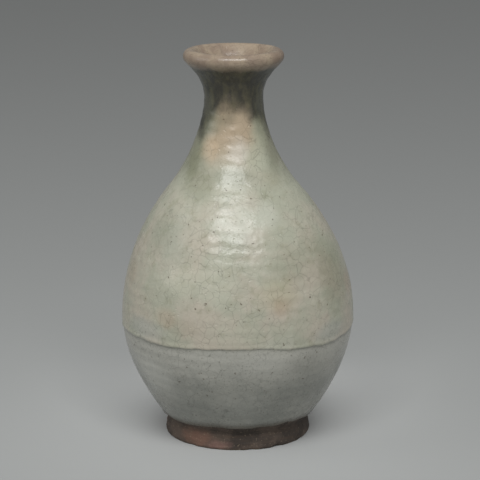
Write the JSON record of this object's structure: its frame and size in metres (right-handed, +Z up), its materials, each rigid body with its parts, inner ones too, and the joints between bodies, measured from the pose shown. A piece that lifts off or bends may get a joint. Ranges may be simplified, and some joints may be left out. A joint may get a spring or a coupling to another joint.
{
  "type": "buncheong bottle",
  "caption": "Pear-shaped stoneware bottle with flared mouth and low foot ring, white slip to the belly under a greenish clear glaze, for holding and pouring liquid.",
  "frame": {"origin": "centre of the foot ring's underside, on the ground that the bottle stands on", "axes": "+Z up along the bottle to its mouth, -Y towards the viewer of the picture, +X to the viewer's right"},
  "size_m": [0.1698, 0.1706, 0.285],
  "materials": {
    "iron_clay": "dry unglazed brown stoneware",
    "grey_clay": "dry grey stoneware",
    "luting_slip": "dry joint slip",
    "white_slip": "matt white slip",
    "celadon_glaze": "soft gloss, thin greenish clear glaze",
    "lining_glaze": "soft gloss, thin poured glaze"
  },
  "bodies": {
    "root": {"lower_section": "iron_clay", "belly_joint_slip": "luting_slip", "upper_section": "grey_clay", "neck_joint_slip": "luting_slip", "neck_and_mouth": "grey_clay", "white_slip_coat": "white_slip", "outer_glaze": "celadon_glaze", "inner_glaze": "lining_glaze"}
  },
  "joints": []
}
